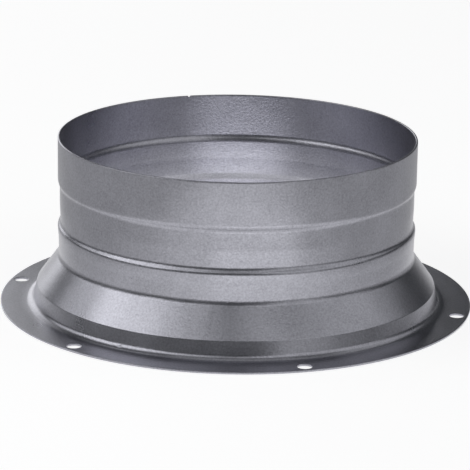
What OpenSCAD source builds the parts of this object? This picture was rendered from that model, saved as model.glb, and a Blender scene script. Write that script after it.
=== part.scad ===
// Duct wall flange: one piece of painted sheet metal that joins a round duct to a wall.
// A flat ring with screw holes lies against the wall. A short riser and a conical shoulder
// lead from the ring to the collar, and the duct slides over the collar's plain end.
// A rolled groove and a bead run around the collar.
// The origin is the centre of the ring's mounting face, and +Z points along the collar.

/* [Sheet] */
// Thickness of the painted sheet
sheet_t = 0.9; // [0.6:0.1:1.2]

/* [Ring] */
// Width of the flat ring, from the foot of the riser to the ring's edge
ring_w = 13.35; // [11:0.05:30]
// Number of screw holes
hole_count = 6; // [3:1:12]
// Diameter of a screw hole
hole_d = 6; // [4:0.5:7]
// From the ring's edge to the middle of a screw hole
hole_inset = 4.5; // [4.2:0.1:5.2]
// Angle of the first screw hole, from +X
hole_angle = 47; // [0:1:119]

/* [Riser] */
// Height of the riser's upper edge above the wall
riser_h = 8.5; // [6:0.5:20]
// How far the riser leans outwards on its way down
riser_draft = 1.75; // [0:0.05:4]
// Radius of the bend between the ring and the riser
foot_round = 3.2; // [1:0.1:4]

/* [Shoulder] */
// Height of the conical shoulder
shoulder_h = 12.4; // [6:0.1:30]
// Width that the shoulder gains on each side
shoulder_w = 9.1; // [4:0.1:30]
// Radius of the shoulder's lower edge
edge_round = 0.8; // [0.2:0.1:1.5]
// Radius of the bend between the shoulder and the collar
neck_round = 4; // [1:0.1:6]

/* [Collar] */
// Outside diameter of the collar's plain end, where the duct slides on
collar_d = 147.5; // [80:0.5:250]
// Length of the collar's plain end
plain_h = 18.3; // [10:0.1:60]
// Depth of the groove at its upper end
groove_depth = 0.8; // [0.3:0.05:1.5]
// Extra depth of the groove at its lower end
groove_lean = 0.3; // [0:0.05:0.6]
// Length of the groove's straight upper stretch
groove_upper_h = 7.9; // [3:0.1:20]
// Length of the groove's leaning lower stretch
groove_lower_h = 7.4; // [3:0.1:20]
// Height of the step between the plain end and the groove
step_h = 1.8; // [1:0.1:4]
// Radius of both bends of the step
step_round = 4.2; // [1:0.1:6]

/* [Bead] */
// How far the bead stands out past the plain end
bead_out = 0.1; // [0:0.05:1]
// Height of the slope between the groove and the bead's crest
bead_h = 1.6; // [1:0.1:4]
// Radius of the bead's crest
bead_round = 2.1; // [0.5:0.1:4]
// Radius of the bend between the groove and the bead
groove_round = 2.4; // [0.5:0.1:4]
// Height of the band that tapers in below the bead
taper_h = 5; // [3:0.1:15]
// How far that band tapers in
taper_in = 0.4; // [0:0.05:1]
// Height of the nearly straight band above the shoulder
waist_h = 7.1; // [3:0.1:20]
// How far the nearly straight band leans in towards the shoulder
waist_in = 0.15; // [0:0.05:1]
// Radius of the long, soft bends in the groove and in the band below the bead
soft_round = 30; // [5:1:60]

/* [Hidden] */

bend_step = 8;     // degrees of bend for each straight stretch of an arc
cut_margin = 1;    // how far the hole cutters run past the sheet
$fn = 96;

// Radii of the outer face, from the rim down to the ring's edge
collar_r = collar_d / 2;
groove_r = collar_r - groove_depth;
groove_end_r = groove_r - groove_lean;
bead_r = collar_r + bead_out;
taper_r = bead_r - taper_in;
neck_r = taper_r - waist_in;
shoulder_r = neck_r + shoulder_w;
foot_r = shoulder_r + riser_draft;
ring_r = foot_r + ring_w;
hole_ring_r = ring_r - hole_inset;

// Heights of the outer face's corners above the wall
neck_z = riser_h + shoulder_h;
taper_z = neck_z + waist_h;
bead_z = taper_z + taper_h;
groove_end_z = bead_z + bead_h;
groove_mid_z = groove_end_z + groove_lower_h;
groove_z = groove_mid_z + groove_upper_h;
step_z = groove_z + step_h;
rim_z = step_z + plain_h;

// Corners of the outer face and the radius of each bend
CORNERS = [
    [ring_r, sheet_t],
    [foot_r, sheet_t],
    [shoulder_r, riser_h],
    [neck_r, neck_z],
    [taper_r, taper_z],
    [bead_r, bead_z],
    [groove_end_r, groove_end_z],
    [groove_r, groove_mid_z],
    [groove_r, groove_z],
    [collar_r, step_z],
    [collar_r, rim_z]
];
ROUNDS = [
    0,
    foot_round,
    edge_round,
    neck_round,
    soft_round,
    bead_round,
    groove_round,
    soft_round,
    step_round,
    step_round,
    0
];

function unit(v) = v / norm(v);
function left_of(v) = [-v[1], v[0]];
function heading(path, i) = unit(path[i + 1] - path[i]);

// The bend at a corner in degrees, positive to the left
function bend(path, i) =
    let (u = heading(path, i - 1), w = heading(path, i))
    atan2(u[0] * w[1] - u[1] * w[0], u * w);

// A bend's radius, kept short enough for the stretches on either side of it
function fitted(path, i, r) =
    let (
        reach = min(norm(path[i] - path[i - 1]), norm(path[i + 1] - path[i])) / 2,
        half = abs(bend(path, i)) / 2
    )
    half < 0.1 ? 0 : min(r, reach / tan(half));

// The points of a corner: an arc that touches both stretches, or the corner itself
function corner(path, i, r, push) =
    let (
        turn = bend(path, i),
        side = sign(turn),
        u = heading(path, i - 1),
        start = path[i] - u * r * tan(abs(turn) / 2),
        centre = start + left_of(u) * side * r,
        spoke = -left_of(u) * side * max(r - side * push, 0),
        steps = max(2, ceil(abs(turn) / bend_step))
    )
    r == 0
        ? [path[i] + push * (left_of(u) + left_of(heading(path, i))) / (1 + u * heading(path, i))]
        : [
            for (k = [0:steps])
                let (a = turn * k / steps)
                centre + [
                    spoke[0] * cos(a) - spoke[1] * sin(a),
                    spoke[0] * sin(a) + spoke[1] * cos(a)
                ]
        ];

// The rounded path, moved sideways to its left by push
function face_path(path, rounds, push) =
    let (last = len(path) - 1)
    [
        path[0] + left_of(heading(path, 0)) * push,
        for (i = [1:last - 1]) each corner(path, i, fitted(path, i, rounds[i]), push),
        path[last] + left_of(heading(path, last - 1)) * push
    ];

function reversed(list) = [for (i = [len(list) - 1:-1:0]) list[i]];

// The sheet in section: the outer face, and the inner face one thickness behind it
module sheet_section() {
    outer = face_path(CORNERS, ROUNDS, 0);
    inner = face_path(CORNERS, ROUNDS, sheet_t);
    polygon(concat(outer, reversed(inner)));
}

// One screw hole's cutter, standing on the wall
module hole_cutter() {
    translate([0, 0, -cut_margin])
        cylinder(d = hole_d, h = sheet_t + 2 * cut_margin);
}

// The whole part is one spun and pressed sheet with punched holes
module flange() {
    color([0.47, 0.47, 0.5])
        difference() {
            rotate_extrude()
                sheet_section();
            for (i = [0:hole_count - 1])
                rotate(hole_angle + i * 360 / hole_count)
                    translate([hole_ring_r, 0, 0])
                        hole_cutter();
        }
}

flange();
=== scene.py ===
from math import cos, pi, radians, sin, tan

import bmesh
import bpy
from mathutils import Matrix, Vector
from mathutils.bvhtree import BVHTree
from mathutils.geometry import intersect_point_line


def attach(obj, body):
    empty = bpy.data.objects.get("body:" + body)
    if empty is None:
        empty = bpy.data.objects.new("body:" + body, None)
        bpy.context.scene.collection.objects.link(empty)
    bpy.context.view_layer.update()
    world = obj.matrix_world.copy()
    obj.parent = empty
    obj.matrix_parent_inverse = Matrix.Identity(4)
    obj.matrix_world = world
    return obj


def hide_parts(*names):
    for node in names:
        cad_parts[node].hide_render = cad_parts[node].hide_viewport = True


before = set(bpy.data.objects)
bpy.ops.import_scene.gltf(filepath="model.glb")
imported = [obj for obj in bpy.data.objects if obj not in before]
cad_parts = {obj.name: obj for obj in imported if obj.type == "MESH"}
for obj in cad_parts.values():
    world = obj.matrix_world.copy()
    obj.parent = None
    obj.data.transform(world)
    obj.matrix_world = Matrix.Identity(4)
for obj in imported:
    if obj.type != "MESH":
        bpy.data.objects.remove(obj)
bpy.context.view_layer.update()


# The camera looks down on the front of the flange from a little over a metre away.
# It is held slightly out of level, so the right side of the ring hangs a touch lower.
CAMERA_PITCH = radians(16.09)
CAMERA_ROLL = radians(0.868)
CAMERA_DISTANCE = 1.2156
CAMERA_AIM = Vector((-0.0006, 0, 0.02776))
CAMERA_LENS = 225.0
CAMERA_SENSOR = 36.0

camera_data = bpy.data.cameras.new("camera")
camera_data.sensor_width = CAMERA_SENSOR
camera_data.lens = CAMERA_LENS
camera_data.clip_start = 0.05
camera_data.clip_end = 30
camera = bpy.data.objects.new("camera", camera_data)
bpy.context.scene.collection.objects.link(camera)
look = Vector((0, cos(CAMERA_PITCH), -sin(CAMERA_PITCH)))
tilt = Matrix.Rotation(pi / 2 - CAMERA_PITCH, 4, "X") @ Matrix.Rotation(CAMERA_ROLL, 4, "Z")
camera.matrix_world = Matrix.Translation(CAMERA_AIM - look * CAMERA_DISTANCE) @ tilt
bpy.context.scene.camera = camera


# The flange is one sheet of steel. A press forms the flat ring, the riser and the conical
# shoulder, and the collar is spun up from the shoulder with its bead, groove and step.
MM = 0.001
SHEET = 0.9 * MM
STEPS_ROUND = 240
SEAM_MERGE = 0.002 * MM
BEND_MERGE = 0.02 * MM

# Each corner of the outer face in millimetres: radius, height, bend radius, bend segments
OUTER_CORNERS = [
    (97.5, 0.9, 0, 0),
    (97.1, 0.9, 0, 0),
    (96.8, 0.9, 0, 0),
    (94.3, 0.9, 0, 0),
    (91.7, 0.9, 0, 0),
    (89.2, 0.9, 0, 0),
    (84.15, 0.9, 3.2, 10),
    (82.4, 8.5, 0.8, 5),
    (73.3, 20.9, 4.0, 8),
    (73.45, 28.0, 30.0, 3),
    (73.85, 33.0, 2.1, 6),
    (72.65, 34.6, 2.4, 6),
    (72.95, 42.0, 30.0, 3),
    (72.95, 49.9, 4.2, 5),
    (73.75, 51.7, 4.2, 5),
    (73.75, 69.3, 0, 0),
    (73.75, 70.0, 0, 0),
]

HOLE_COUNT = 6
HOLE_RADIUS = 3.0 * MM
HOLE_RING = 93.0 * MM
HOLE_START = radians(47)
HOLE_SEGMENTS = 32
HOLE_MARGIN = 0.45 * MM

# The patch of the ring that each hole is cut from, and the reach to the patch's border
PATCH_INNER = 89.2 * MM
PATCH_OUTER = 96.8 * MM
PATCH_HALF_WIDTH = 5.0 * MM
BORDER_REACH = 7.0 * MM
BORDER_OUTER = 97.0 * MM

# The rolled edges of the rim, of the ring and of the holes, and what tells them apart
RIM_ROUND = 0.38 * MM
RIM_FOOT = 69.0 * MM
RING_ROUND = 0.22 * MM
RING_EDGE = 97.2 * MM
RING_TOP = 2.0 * MM
HOLE_ROUND = 0.14 * MM
SHARP_ANGLE = radians(60)

# Specks under the paint, and one pit, in millimetres from the flange's centre: azimuth in
# degrees, distance from the axis, height, radius of the spot, and how far it stands out
SPOTS = [
    (-26.0, 82.76, 6.9, 0.75, 0.28),
    (-80.4, 83.14, 5.3, 0.5, 0.14),
    (-122.4, 84.3, 2.0, 0.55, 0.16),
    (-154.7, 78.07, 14.4, 0.5, 0.1),
    (-124.0, 73.42, 26.6, 0.5, 0.1),
    (-108.9, 73.4, 25.8, 0.5, 0.1),
    (-96.7, 75.2, 18.3, 0.5, 0.1),
    (-64.2, 73.75, 61.0, 0.55, -0.12),
]

# A small nick in the rim, at the back
NICK_PLACE = Vector((-21.4, 70.1, 70.0)) * MM
NICK_WIDTH = 1.3 * MM
NICK_DEPTH = 0.6 * MM
NICK_FOOT = 68.6 * MM
NICK_REACH = 3.0 * MM
REFINE_REACH = 12.0 * MM


def bend_offset(before, here, after, radius):
    """How far from the corner an arc of that radius meets the stretch on either side."""
    u = (here - before).normalized()
    w = (after - here).normalized()
    reach = min((here - before).length, (after - here).length) / 2
    return min(radius * tan(u.angle(w) / 2), reach)


def profile_line(bm):
    """The outer face's line, with its corners rounded, at the first hole's angle."""
    corners = [Vector((r * MM, 0, z * MM)) for r, z, bend, segments in OUTER_CORNERS]
    verts = [bm.verts.new(c) for c in corners]
    for a, b in zip(verts, verts[1:]):
        bm.edges.new((a, b))
    for i in range(1, len(corners) - 1):
        bend, segments = OUTER_CORNERS[i][2:]
        if bend:
            bmesh.ops.bevel(
                bm, geom=[verts[i]], offset_type="OFFSET",
                offset=bend_offset(corners[i - 1], corners[i], corners[i + 1], bend * MM),
                segments=segments, profile=0.5, affect="VERTICES", material=-1)
    bmesh.ops.rotate(bm, verts=bm.verts[:], cent=(0, 0, 0),
                     matrix=Matrix.Rotation(HOLE_START, 3, "Z"))


def punch_hole(bm, centre):
    """Cuts a patch of the ring's grid away and closes it with rings of faces round a hole."""
    direction = centre.xy.normalized()
    patch = []
    for face in bm.faces:
        middle = face.calc_center_median().xy
        beside = abs(middle.cross(direction))
        if middle.dot(direction) > 0 and beside < PATCH_HALF_WIDTH:
            if PATCH_INNER < middle.length < PATCH_OUTER:
                patch.append(face)
    bmesh.ops.delete(bm, geom=patch, context="FACES")
    border = []
    for edge in bm.edges:
        middle = (edge.verts[0].co + edge.verts[1].co) / 2
        if edge.is_boundary and middle.length < BORDER_OUTER:
            if (middle.xy - centre.xy).length < BORDER_REACH:
                border.append(edge)
    made = bmesh.ops.create_circle(bm, cap_ends=False, radius=HOLE_RADIUS + HOLE_MARGIN,
                                   segments=HOLE_SEGMENTS, matrix=Matrix.Translation(centre))
    loop = list(dict.fromkeys(e for v in made["verts"] for e in v.link_edges))
    bmesh.ops.triangle_fill(bm, use_beauty=True, use_dissolve=False, edges=border + loop,
                            normal=(0, 0, 1))
    inner = bmesh.ops.extrude_edge_only(bm, edges=loop)["geom"]
    shrink = HOLE_RADIUS / (HOLE_RADIUS + HOLE_MARGIN)
    bmesh.ops.scale(bm, vec=(shrink, shrink, 1), space=Matrix.Translation(-centre),
                    verts=[v for v in inner if isinstance(v, bmesh.types.BMVert)])


def sharp_edges(bm, near):
    """The sheet's own corners, where its faces meet at a steep angle."""
    return [e for e in bm.edges if e.is_manifold and e.calc_face_angle() > SHARP_ANGLE
            and near((e.verts[0].co + e.verts[1].co) / 2)]


def round_edges(bm, near, width, segments):
    """Rounds the sheet's corners wherever near says yes to a place."""
    bmesh.ops.bevel(bm, geom=sharp_edges(bm, near), offset=width, offset_type="OFFSET",
                    segments=segments, profile=0.5, affect="EDGES", material=-1,
                    clamp_overlap=True)


def refine(bm, centre, reach, size):
    """Halves the edges that pass near a point until none of them is longer than size."""
    near = [e for e in bm.edges
            if ((e.verts[0].co + e.verts[1].co) / 2 - centre).length < REFINE_REACH]
    while True:
        long_edges = []
        for edge in near:
            a, b = edge.verts[0].co, edge.verts[1].co
            share = intersect_point_line(centre, a, b)[1]
            nearest = a.lerp(b, min(max(share, 0), 1))
            if (b - a).length > size and (nearest - centre).length < reach:
                long_edges.append(edge)
        if not long_edges:
            return
        made = bmesh.ops.subdivide_edges(bm, edges=long_edges, cuts=1, use_grid_fill=True)
        near += [g for g in made["geom"] if isinstance(g, bmesh.types.BMEdge)]
        near = list(dict.fromkeys(e for e in near if e.is_valid))


def raise_spot(bm, azimuth, distance, height, radius, lift):
    """Lifts the paint into a low, round speck, or sinks it into a pit."""
    aim = Matrix.Rotation(radians(azimuth), 3, "Z") @ Vector((distance, 0, height)) * MM
    centre, normal = BVHTree.FromBMesh(bm).find_nearest(aim)[:2]
    refine(bm, centre, 1.2 * radius * MM, radius / 3 * MM)
    for vert in bm.verts:
        share = (vert.co - centre).length / (radius * MM)
        if share < 1:
            vert.co += normal * lift * MM * (1 - share * share) ** 2


def nick_rim(bm):
    """Presses the rim down in one short, rounded notch."""
    refine(bm, NICK_PLACE, NICK_WIDTH, NICK_WIDTH / 6)
    along = Vector((-NICK_PLACE.y, NICK_PLACE.x, 0)).normalized()
    for vert in bm.verts:
        apart = vert.co - NICK_PLACE
        share = abs(apart.dot(along)) / (NICK_WIDTH / 2)
        if share < 1 and apart.xy.length < NICK_REACH and vert.co.z > NICK_FOOT:
            hold = (vert.co.z - NICK_FOOT) / (NICK_PLACE.z - NICK_FOOT)
            vert.co.z -= NICK_DEPTH * hold * (1 - share * share) ** 2


bm = bmesh.new()
profile_line(bm)
bmesh.ops.spin(bm, geom=bm.verts[:] + bm.edges[:], cent=(0, 0, 0), axis=(0, 0, 1),
               angle=2 * pi, steps=STEPS_ROUND, use_merge=True, use_duplicate=False)
bmesh.ops.remove_doubles(bm, verts=bm.verts[:], dist=SEAM_MERGE)
hole_centres = [Matrix.Rotation(HOLE_START + i * 2 * pi / HOLE_COUNT, 3, "Z")
                @ Vector((HOLE_RING, 0, SHEET)) for i in range(HOLE_COUNT)]
for centre in hole_centres:
    punch_hole(bm, centre)
bmesh.ops.recalc_face_normals(bm, faces=bm.faces[:])
ring_face = min(bm.faces, key=lambda f: (f.calc_center_median().z, f.index))
if ring_face.normal.z < 0:
    bmesh.ops.reverse_faces(bm, faces=bm.faces[:])
bmesh.ops.solidify(bm, geom=bm.faces[:], thickness=SHEET)
bmesh.ops.remove_doubles(bm, verts=bm.verts[:], dist=BEND_MERGE)
for vert in bm.verts:
    vert.co.z = max(vert.co.z, 0)
round_edges(bm, lambda p: p.z > RIM_FOOT, RIM_ROUND, 4)
round_edges(bm, lambda p: p.z < RING_TOP and p.xy.length > RING_EDGE, RING_ROUND, 3)
round_edges(bm, lambda p: p.z < RING_TOP and p.xy.length < RING_EDGE, HOLE_ROUND, 3)
for spot in SPOTS:
    raise_spot(bm, *spot)
nick_rim(bm)
for face in bm.faces:
    face.smooth = True
flange_mesh = bpy.data.meshes.new("flange_shell")
bm.to_mesh(flange_mesh)
bm.free()
flange = bpy.data.objects.new("flange_shell", flange_mesh)
bpy.context.scene.collection.objects.link(flange)

# The finish is a satin metallic paint in silver grey, sprayed on both sides. Fine flakes give
# it a sparkle grain, and the spray leaves a faint orange peel.
PAINT_DARK = (0.31, 0.31, 0.345, 1)
PAINT_LIGHT = (0.46, 0.46, 0.51, 1)
FLAKES_PER_METRE = 1300
PEEL_PER_METRE = 420
CLOUDS_PER_METRE = 60
CLOUD_SHARE = 0.35
FLAKE_RELIEF = 0.00005
PEEL_RELIEF = 0.000006
SATIN_LEAST = 0.25
SATIN_MOST = 0.33
TONE_LEAST = 0.32
TONE_MOST = 0.68


def paint_node(kind, **values):
    """A node of the paint, with its plain values set by socket name."""
    node = paint.node_tree.nodes.new(kind)
    for socket, value in values.items():
        node.inputs[socket].default_value = value
    return node


def join(output, node_input):
    paint.node_tree.links.new(output, node_input)


paint = bpy.data.materials.new("painted_steel")
paint.use_nodes = True
paint.node_tree.nodes.clear()
surface = paint_node("ShaderNodeOutputMaterial")
shader = paint_node("ShaderNodeBsdfPrincipled", Metallic=1.0)
join(shader.outputs["BSDF"], surface.inputs["Surface"])
place = paint_node("ShaderNodeTexCoord")

flakes = paint_node("ShaderNodeTexNoise", Scale=FLAKES_PER_METRE, Detail=1.5, Roughness=0.6)
join(place.outputs["Object"], flakes.inputs["Vector"])
clouds = paint_node("ShaderNodeTexNoise", Scale=CLOUDS_PER_METRE, Detail=2.0)
join(place.outputs["Object"], clouds.inputs["Vector"])
tone = paint_node("ShaderNodeMix", Factor=CLOUD_SHARE)
join(flakes.outputs["Fac"], tone.inputs["A"])
join(clouds.outputs["Fac"], tone.inputs["B"])
spread = paint_node("ShaderNodeMapRange")
spread.inputs["From Min"].default_value = TONE_LEAST
spread.inputs["From Max"].default_value = TONE_MOST
join(tone.outputs["Result"], spread.inputs["Value"])
color = paint_node("ShaderNodeMix")
color.data_type = "RGBA"
color.inputs["A"].default_value = PAINT_DARK
color.inputs["B"].default_value = PAINT_LIGHT
join(spread.outputs["Result"], color.inputs["Factor"])
join(color.outputs["Result"], shader.inputs["Base Color"])

satin = paint_node("ShaderNodeMapRange")
satin.inputs["To Min"].default_value = SATIN_LEAST
satin.inputs["To Max"].default_value = SATIN_MOST
join(clouds.outputs["Fac"], satin.inputs["Value"])
join(satin.outputs["Result"], shader.inputs["Roughness"])

peel = paint_node("ShaderNodeTexNoise", Scale=PEEL_PER_METRE, Detail=1.0)
join(place.outputs["Object"], peel.inputs["Vector"])
peel_bump = paint_node("ShaderNodeBump", Strength=1.0, Distance=PEEL_RELIEF)
join(peel.outputs["Fac"], peel_bump.inputs["Height"])
flake_bump = paint_node("ShaderNodeBump", Strength=1.0, Distance=FLAKE_RELIEF)
join(flakes.outputs["Fac"], flake_bump.inputs["Height"])
join(peel_bump.outputs["Normal"], flake_bump.inputs["Normal"])
join(flake_bump.outputs["Normal"], shader.inputs["Normal"])
flange_mesh.materials.append(paint)
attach(flange, "root")
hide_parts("flange")


# The floor is a plain white table, and the camera sees it as white paper with the flange's own
# shadow on it. In the paint's reflections its glow is painted darker at both sides, a painted
# shade that stands in for dark studio walls beside the table.
FLOOR_SIZE = 6.0
FLOOR_DROP = 0.0003
FLOOR_GLOW = 0.8
FLOOR_SHADE = 0.4
FLOOR_COLOR = 0.8
# Where the painted shade in the floor's reflections begins and ends across the table, and how
# deep it goes
SIDE_START = 0.105
SIDE_END = 0.14
SIDE_PAINTED_SHADE = 0.58

floor_bm = bmesh.new()
bmesh.ops.create_grid(floor_bm, x_segments=1, y_segments=1, size=FLOOR_SIZE / 2,
                      matrix=Matrix.Translation((0, 0, -FLOOR_DROP)))
floor_mesh = bpy.data.meshes.new("floor")
floor_bm.to_mesh(floor_mesh)
floor_bm.free()
floor = bpy.data.objects.new("floor", floor_mesh)
bpy.context.scene.collection.objects.link(floor)

floor_paint = bpy.data.materials.new("floor_white")
floor_paint.cycles.emission_sampling = "NONE"
floor_paint.use_nodes = True
nodes = floor_paint.node_tree.nodes
links = floor_paint.node_tree.links
nodes.clear()


def floor_math(operation, a, b=0):
    """One step of arithmetic in the floor's material, on outputs or plain numbers."""
    node = nodes.new("ShaderNodeMath")
    node.operation = operation
    for socket, value in zip(node.inputs, (a, b)):
        if isinstance(value, bpy.types.NodeSocket):
            links.new(value, socket)
        else:
            socket.default_value = value
    return node.outputs[0]


ray = nodes.new("ShaderNodeLightPath")
place = nodes.new("ShaderNodeTexCoord")
apart = nodes.new("ShaderNodeSeparateXYZ")
links.new(place.outputs["Object"], apart.inputs[0])
# Painted shade: the glow that the paint mirrors fades towards both sides of the table
painted_side_shade = nodes.new("ShaderNodeMapRange")
painted_side_shade.interpolation_type = "SMOOTHSTEP"
painted_side_shade.inputs["From Min"].default_value = SIDE_START
painted_side_shade.inputs["From Max"].default_value = SIDE_END
painted_side_shade.inputs["To Max"].default_value = SIDE_PAINTED_SHADE
links.new(floor_math("ABSOLUTE", apart.outputs["X"]), painted_side_shade.inputs["Value"])
painted_reflection_shade = floor_math("MULTIPLY", painted_side_shade.outputs["Result"], ray.outputs["Is Glossy Ray"])
level = floor_math("SUBTRACT", 1, painted_reflection_shade)

output = nodes.new("ShaderNodeOutputMaterial")
plain = nodes.new("ShaderNodeBsdfDiffuse")
plain.inputs["Color"].default_value = (FLOOR_COLOR, FLOOR_COLOR, FLOOR_COLOR, 1)
shade = nodes.new("ShaderNodeBsdfDiffuse")
shade.inputs["Color"].default_value = (FLOOR_SHADE, FLOOR_SHADE, FLOOR_SHADE, 1)
glow = nodes.new("ShaderNodeEmission")
links.new(floor_math("MULTIPLY", level, FLOOR_GLOW), glow.inputs["Strength"])
seen = nodes.new("ShaderNodeAddShader")
links.new(shade.outputs[0], seen.inputs[0])
links.new(glow.outputs[0], seen.inputs[1])
direct = floor_math("MAXIMUM", ray.outputs["Is Camera Ray"], ray.outputs["Is Glossy Ray"])
direct = floor_math("MAXIMUM", direct, ray.outputs["Is Transmission Ray"])
mix = nodes.new("ShaderNodeMixShader")
links.new(direct, mix.inputs[0])
links.new(plain.outputs[0], mix.inputs[1])
links.new(seen.outputs[0], mix.inputs[2])
links.new(mix.outputs[0], output.inputs["Surface"])
floor_mesh.materials.append(floor_paint)


# Plain soft studio light: softboxes stand round the table in a dim room, and two strip lights
# lie on it, one in front of the flange and one inside its bore.
LAMP_AIM = Vector((0, 0, 0.035))
LAMP_DISTANCE = 1.5
STRIP_HEIGHT = 0.0005
ROOM_COLOR = (0.9, 0.95, 1, 1)
ROOM_LIGHT = 0.06


def area_lamp(name, width, height, radiance, place):
    """A flat, even lamp, with its brightness given as radiance."""
    lamp = bpy.data.lights.new(name, "AREA")
    lamp.shape = "RECTANGLE"
    lamp.size = width
    lamp.size_y = height
    lamp.energy = radiance * pi * width * height
    holder = bpy.data.objects.new(name, lamp)
    bpy.context.scene.collection.objects.link(holder)
    holder.matrix_world = place


def softbox(name, azimuth, elevation, width, height, radiance):
    """A lamp that stands off the table and faces the flange, placed by angles in degrees."""
    a, e = radians(azimuth), radians(elevation)
    out = Vector((cos(a) * cos(e), sin(a) * cos(e), sin(e)))
    turn = (-out).to_track_quat("-Z", "Y").to_matrix().to_4x4()
    place = Matrix.Translation(LAMP_AIM + out * LAMP_DISTANCE) @ turn
    area_lamp(name, width, height, radiance, place)


def strip_light(name, x, y, width, depth, radiance):
    """A lamp that lies on the table and faces up."""
    place = Matrix.Translation((x, y, STRIP_HEIGHT)) @ Matrix.Rotation(pi, 4, "X")
    area_lamp(name, width, depth, radiance, place)


softbox("left_lamp", -160, 34, 1.3, 0.8, 1.55)
softbox("far_left_lamp", 180, 25, 0.5, 0.6, 0.48)
softbox("left_back_lamp", 158, 23, 0.5, 0.5, 1.0)
softbox("front_left_lamp", -116, 41, 0.6, 0.6, 0.9)
softbox("front_lamp", -75, 45, 0.6, 0.5, 0.65)
softbox("right_lamp", -35, 30, 2.0, 1.0, 0.64)
softbox("low_right_lamp", -50, 8, 0.8, 0.3, 0.31)
softbox("side_lamp", 22, 40, 0.9, 1.1, 0.48)
softbox("top_lamp", 0, 89, 1.2, 1.2, 0.35)
softbox("back_lamp", 126, 58, 0.5, 0.5, 0.6)
softbox("low_back_lamp", 116, 12, 0.9, 0.75, 1.5)
softbox("rim_lamp", 90, 16, 0.35, 0.2, 0.75)
strip_light("front_strip", 0.03, -0.16, 0.13, 0.03, 0.85)
strip_light("bore_strip", 0, -0.066, 0.1, 0.03, 2.7)

world = bpy.data.worlds.new("room")
bpy.context.scene.world = world
world.use_nodes = True
background = world.node_tree.nodes["Background"]
background.inputs["Color"].default_value = ROOM_COLOR
background.inputs["Strength"].default_value = ROOM_LIGHT
bpy.context.scene.view_settings.view_transform = "Standard"
